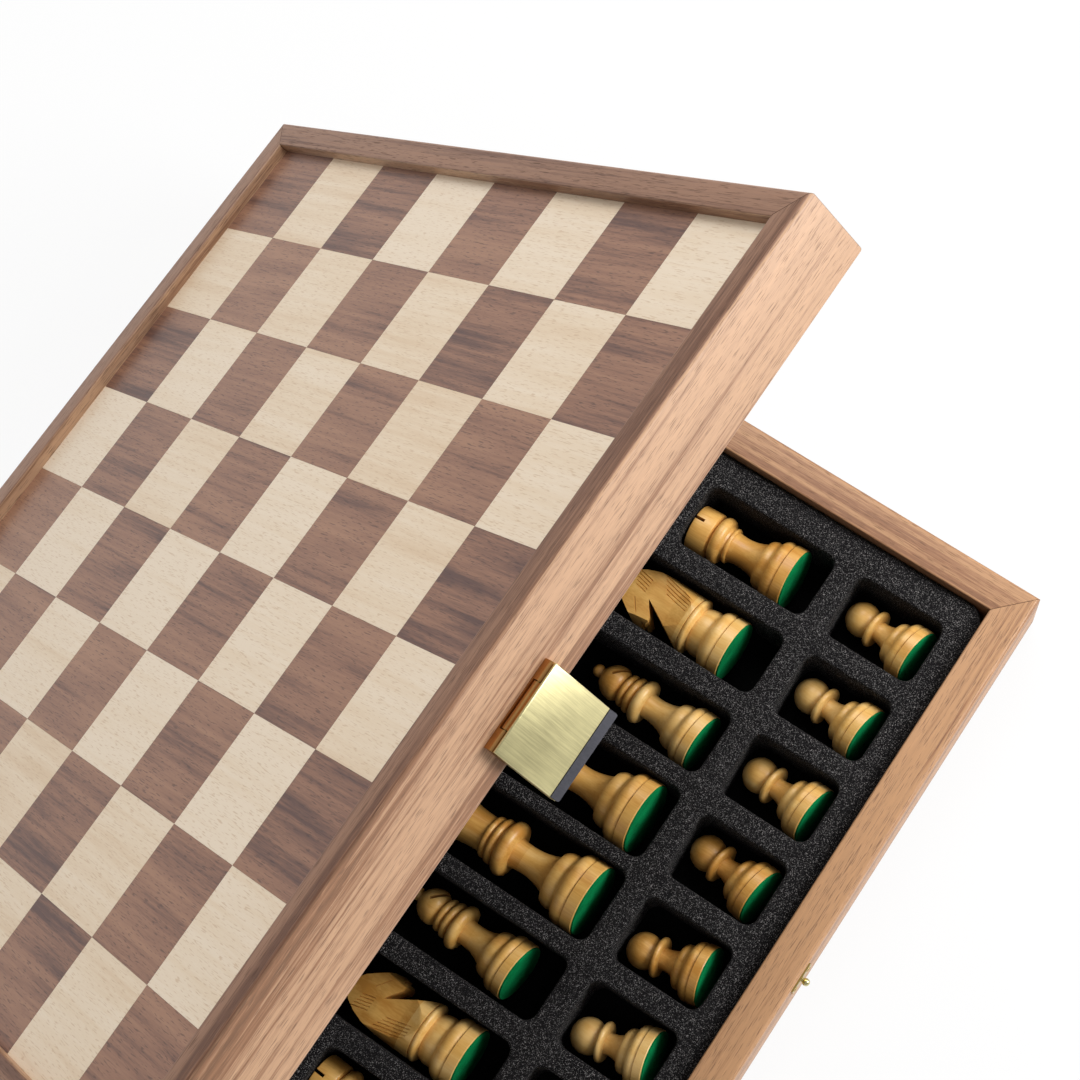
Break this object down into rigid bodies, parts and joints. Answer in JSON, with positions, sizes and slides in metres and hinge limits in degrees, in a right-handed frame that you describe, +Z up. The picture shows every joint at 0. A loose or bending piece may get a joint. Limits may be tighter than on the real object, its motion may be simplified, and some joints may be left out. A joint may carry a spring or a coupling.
{
  "type": "chess box",
  "caption": "Square wooden games box with a chessboard lid on two butt hinges, a flap latch, and a foam tray holding lying chess pieces.",
  "frame": {"origin": "centre of the base's underside, on the table", "axes": "+X to the right seen from the latch side, +Y from the latch to the hinges, +Z up"},
  "size_m": [0.384, 0.409, 0.3173],
  "materials": {
    "rail_walnut": "satin lacquered walnut",
    "walnut_veneer": "satin lacquered walnut veneer",
    "maple_veneer": "satin lacquered maple veneer",
    "plywood": "plain plywood",
    "boxwood": "waxed turned boxwood",
    "dark_wood": "waxed dark stained wood",
    "black_foam": "flocked black foam",
    "black_liner": "black flocked card",
    "lining_felt": "black felt",
    "brass": "satin brushed brass",
    "spring_steel": "spring steel"
  },
  "bodies": {
    "base": {"base_front_wall": "rail_walnut", "base_back_wall": "rail_walnut", "base_left_wall": "rail_walnut", "base_right_wall": "rail_walnut", "base_bottom_panel": "plywood", "tray_floor_liner": "black_liner", "foam_tray": "black_foam", "hinge_base_leaves": "brass", "hinge_base_screws": "brass", "hinge_pins": "brass", "strike_plate": "brass", "strike_ball_stud": "brass", "strike_screws": "brass"},
    "lid": {"lid_front_rail": "rail_walnut", "lid_back_rail": "rail_walnut", "lid_left_rail": "rail_walnut", "lid_right_rail": "rail_walnut", "board_core_panel": "plywood", "light_squares": "maple_veneer", "dark_squares": "walnut_veneer", "lid_lining": "lining_felt", "hinge_lid_leaves": "brass", "hinge_lid_screws": "brass", "latch_back_plate": "brass", "latch_pin": "brass", "latch_screws": "brass"},
    "latch_flap": {"latch_flap": "brass", "latch_clip": "spring_steel"},
    "light_pawn_1": {"light_pawn_1": "boxwood"},
    "light_rook_1": {"light_rook_1": "boxwood"},
    "light_pawn_2": {"light_pawn_2": "boxwood"},
    "light_knight_1": {"light_knight_1": "boxwood"},
    "light_pawn_3": {"light_pawn_3": "boxwood"},
    "light_bishop_1": {"light_bishop_1": "boxwood"},
    "light_pawn_4": {"light_pawn_4": "boxwood"},
    "light_queen": {"light_queen": "boxwood"},
    "light_pawn_5": {"light_pawn_5": "boxwood"},
    "light_king": {"light_king": "boxwood"},
    "light_pawn_6": {"light_pawn_6": "boxwood"},
    "light_bishop_2": {"light_bishop_2": "boxwood"},
    "light_pawn_7": {"light_pawn_7": "boxwood"},
    "light_knight_2": {"light_knight_2": "boxwood"},
    "light_pawn_8": {"light_pawn_8": "boxwood"},
    "light_rook_2": {"light_rook_2": "boxwood"},
    "dark_pawn_1": {"dark_pawn_1": "dark_wood"},
    "dark_rook_1": {"dark_rook_1": "dark_wood"},
    "dark_pawn_2": {"dark_pawn_2": "dark_wood"},
    "dark_knight_1": {"dark_knight_1": "dark_wood"},
    "dark_pawn_3": {"dark_pawn_3": "dark_wood"},
    "dark_bishop_1": {"dark_bishop_1": "dark_wood"},
    "dark_pawn_4": {"dark_pawn_4": "dark_wood"},
    "dark_queen": {"dark_queen": "dark_wood"},
    "dark_pawn_5": {"dark_pawn_5": "dark_wood"},
    "dark_king": {"dark_king": "dark_wood"},
    "dark_pawn_6": {"dark_pawn_6": "dark_wood"},
    "dark_bishop_2": {"dark_bishop_2": "dark_wood"},
    "dark_pawn_7": {"dark_pawn_7": "dark_wood"},
    "dark_knight_2": {"dark_knight_2": "dark_wood"},
    "dark_pawn_8": {"dark_pawn_8": "dark_wood"},
    "dark_rook_2": {"dark_rook_2": "dark_wood"}
  },
  "joints": [
    {"name": "lid_hinge", "type": "hinge", "parent": "base", "child": "lid", "pos_m": [0, 0.1944, 0.0402], "axis": [-1, 0, 0], "range_deg": [-41.15, 53.85]},
    {"name": "latch_hinge", "type": "hinge", "parent": "lid", "child": "latch_flap", "pos_m": [0, -0.09132, 0.3041], "axis": [-1, 0, 0], "range_deg": [0, 110]},
    {"name": "light_pawn_1_lift", "type": "slide", "parent": "base", "child": "light_pawn_1", "axis": [0, 0, 1], "range_m": [0, 0.03]},
    {"name": "light_rook_1_lift", "type": "slide", "parent": "base", "child": "light_rook_1", "axis": [0, 0, 1], "range_m": [0, 0.03]},
    {"name": "light_pawn_2_lift", "type": "slide", "parent": "base", "child": "light_pawn_2", "axis": [0, 0, 1], "range_m": [0, 0.03]},
    {"name": "light_knight_1_lift", "type": "slide", "parent": "base", "child": "light_knight_1", "axis": [0, 0, 1], "range_m": [0, 0.03]},
    {"name": "light_pawn_3_lift", "type": "slide", "parent": "base", "child": "light_pawn_3", "axis": [0, 0, 1], "range_m": [0, 0.03]},
    {"name": "light_bishop_1_lift", "type": "slide", "parent": "base", "child": "light_bishop_1", "axis": [0, 0, 1], "range_m": [0, 0.03]},
    {"name": "light_pawn_4_lift", "type": "slide", "parent": "base", "child": "light_pawn_4", "axis": [0, 0, 1], "range_m": [0, 0.03]},
    {"name": "light_queen_lift", "type": "slide", "parent": "base", "child": "light_queen", "axis": [0, 0, 1], "range_m": [0, 0.03]},
    {"name": "light_pawn_5_lift", "type": "slide", "parent": "base", "child": "light_pawn_5", "axis": [0, 0, 1], "range_m": [0, 0.03]},
    {"name": "light_king_lift", "type": "slide", "parent": "base", "child": "light_king", "axis": [0, 0, 1], "range_m": [0, 0.03]},
    {"name": "light_pawn_6_lift", "type": "slide", "parent": "base", "child": "light_pawn_6", "axis": [0, 0, 1], "range_m": [0, 0.03]},
    {"name": "light_bishop_2_lift", "type": "slide", "parent": "base", "child": "light_bishop_2", "axis": [0, 0, 1], "range_m": [0, 0.03]},
    {"name": "light_pawn_7_lift", "type": "slide", "parent": "base", "child": "light_pawn_7", "axis": [0, 0, 1], "range_m": [0, 0.03]},
    {"name": "light_knight_2_lift", "type": "slide", "parent": "base", "child": "light_knight_2", "axis": [0, 0, 1], "range_m": [0, 0.03]},
    {"name": "light_pawn_8_lift", "type": "slide", "parent": "base", "child": "light_pawn_8", "axis": [0, 0, 1], "range_m": [0, 0.03]},
    {"name": "light_rook_2_lift", "type": "slide", "parent": "base", "child": "light_rook_2", "axis": [0, 0, 1], "range_m": [0, 0.03]},
    {"name": "dark_pawn_1_lift", "type": "slide", "parent": "base", "child": "dark_pawn_1", "axis": [0, 0, 1], "range_m": [0, 0.03]},
    {"name": "dark_rook_1_lift", "type": "slide", "parent": "base", "child": "dark_rook_1", "axis": [0, 0, 1], "range_m": [0, 0.03]},
    {"name": "dark_pawn_2_lift", "type": "slide", "parent": "base", "child": "dark_pawn_2", "axis": [0, 0, 1], "range_m": [0, 0.03]},
    {"name": "dark_knight_1_lift", "type": "slide", "parent": "base", "child": "dark_knight_1", "axis": [0, 0, 1], "range_m": [0, 0.03]},
    {"name": "dark_pawn_3_lift", "type": "slide", "parent": "base", "child": "dark_pawn_3", "axis": [0, 0, 1], "range_m": [0, 0.03]},
    {"name": "dark_bishop_1_lift", "type": "slide", "parent": "base", "child": "dark_bishop_1", "axis": [0, 0, 1], "range_m": [0, 0.03]},
    {"name": "dark_pawn_4_lift", "type": "slide", "parent": "base", "child": "dark_pawn_4", "axis": [0, 0, 1], "range_m": [0, 0.03]},
    {"name": "dark_queen_lift", "type": "slide", "parent": "base", "child": "dark_queen", "axis": [0, 0, 1], "range_m": [0, 0.03]},
    {"name": "dark_pawn_5_lift", "type": "slide", "parent": "base", "child": "dark_pawn_5", "axis": [0, 0, 1], "range_m": [0, 0.03]},
    {"name": "dark_king_lift", "type": "slide", "parent": "base", "child": "dark_king", "axis": [0, 0, 1], "range_m": [0, 0.03]},
    {"name": "dark_pawn_6_lift", "type": "slide", "parent": "base", "child": "dark_pawn_6", "axis": [0, 0, 1], "range_m": [0, 0.03]},
    {"name": "dark_bishop_2_lift", "type": "slide", "parent": "base", "child": "dark_bishop_2", "axis": [0, 0, 1], "range_m": [0, 0.03]},
    {"name": "dark_pawn_7_lift", "type": "slide", "parent": "base", "child": "dark_pawn_7", "axis": [0, 0, 1], "range_m": [0, 0.03]},
    {"name": "dark_knight_2_lift", "type": "slide", "parent": "base", "child": "dark_knight_2", "axis": [0, 0, 1], "range_m": [0, 0.03]},
    {"name": "dark_pawn_8_lift", "type": "slide", "parent": "base", "child": "dark_pawn_8", "axis": [0, 0, 1], "range_m": [0, 0.03]},
    {"name": "dark_rook_2_lift", "type": "slide", "parent": "base", "child": "dark_rook_2", "axis": [0, 0, 1], "range_m": [0, 0.03]}
  ]
}
